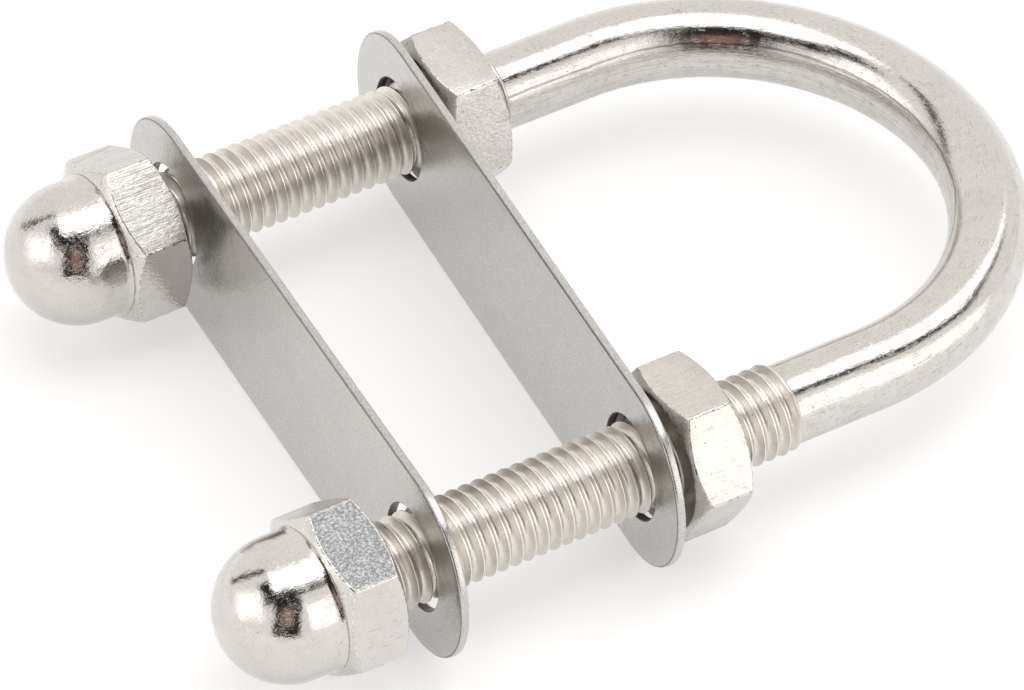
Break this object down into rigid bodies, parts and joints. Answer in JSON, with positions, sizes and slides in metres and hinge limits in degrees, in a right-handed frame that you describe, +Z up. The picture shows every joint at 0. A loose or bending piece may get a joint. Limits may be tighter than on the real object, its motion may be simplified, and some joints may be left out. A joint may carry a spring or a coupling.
{
  "type": "pad eye",
  "caption": "U-bolt pad eye of polished steel: round bent rod with threaded legs, two round-ended plates, hexagon nuts and domed cap nuts.",
  "frame": {"origin": "centre of the base of the bounding box; the fitting lies flat on the lower edges of its two plates", "axes": "+Z up, square to the plane of the U; +Y along the legs towards the bend, away from the cap nuts; +X from the rear leg to the front leg"},
  "size_m": [0.0638, 0.0898, 0.017],
  "materials": {
    "u_bolt": "polished stainless rod, rolled threads",
    "backing_plate": "satin stamped sheet",
    "outer_plate": "satin stamped sheet",
    "hex_nut_front": "tumbled, bright flats",
    "hex_nut_rear": "tumbled, bright flats",
    "cap_nut_front": "polished dome, drawn flats",
    "cap_nut_rear": "polished dome, drawn flats"
  },
  "bodies": {
    "bolt": {"u_bolt": "u_bolt"},
    "backing": {"backing_plate": "backing_plate"},
    "outer": {"outer_plate": "outer_plate"},
    "front_hex": {"hex_nut_front": "hex_nut_front"},
    "rear_hex": {"hex_nut_rear": "hex_nut_rear"},
    "front_cap": {"cap_nut_front": "cap_nut_front"},
    "rear_cap": {"cap_nut_rear": "cap_nut_rear"}
  },
  "joints": [
    {"name": "outer_plate_slide", "type": "slide", "parent": "bolt", "child": "outer", "axis": [0, 1, 0], "range_m": [-0.01875, 0.001]},
    {"name": "front_hex_turn", "type": "hinge", "parent": "outer", "child": "front_hex", "pos_m": [0.023, 0, 0.0085], "axis": [0, 1, 0], "range_deg": [-5400, 288]},
    {"name": "rear_hex_turn", "type": "hinge", "parent": "outer", "child": "rear_hex", "pos_m": [-0.023, 0, 0.0085], "axis": [0, 1, 0], "range_deg": [-5400, 288]},
    {"name": "backing_plate_slide", "type": "slide", "parent": "bolt", "child": "backing", "axis": [0, 1, 0], "range_m": [-0.0025, 0.0003]},
    {"name": "front_cap_turn", "type": "hinge", "parent": "backing", "child": "front_cap", "pos_m": [0.023, 0, 0.0085], "axis": [0, 1, 0], "range_deg": [-720, 86.4]},
    {"name": "rear_cap_turn", "type": "hinge", "parent": "backing", "child": "rear_cap", "pos_m": [-0.023, 0, 0.0085], "axis": [0, 1, 0], "range_deg": [-720, 86.4]}
  ],
  "couplings": [
    {"joint": "outer_plate_slide", "follows": "front_hex_turn", "m_per_rad": 0.00019894},
    {"joint": "rear_hex_turn", "follows": "front_hex_turn", "ratio": 1},
    {"joint": "backing_plate_slide", "follows": "front_cap_turn", "m_per_rad": 0.00019894},
    {"joint": "rear_cap_turn", "follows": "front_cap_turn", "ratio": 1}
  ]
}
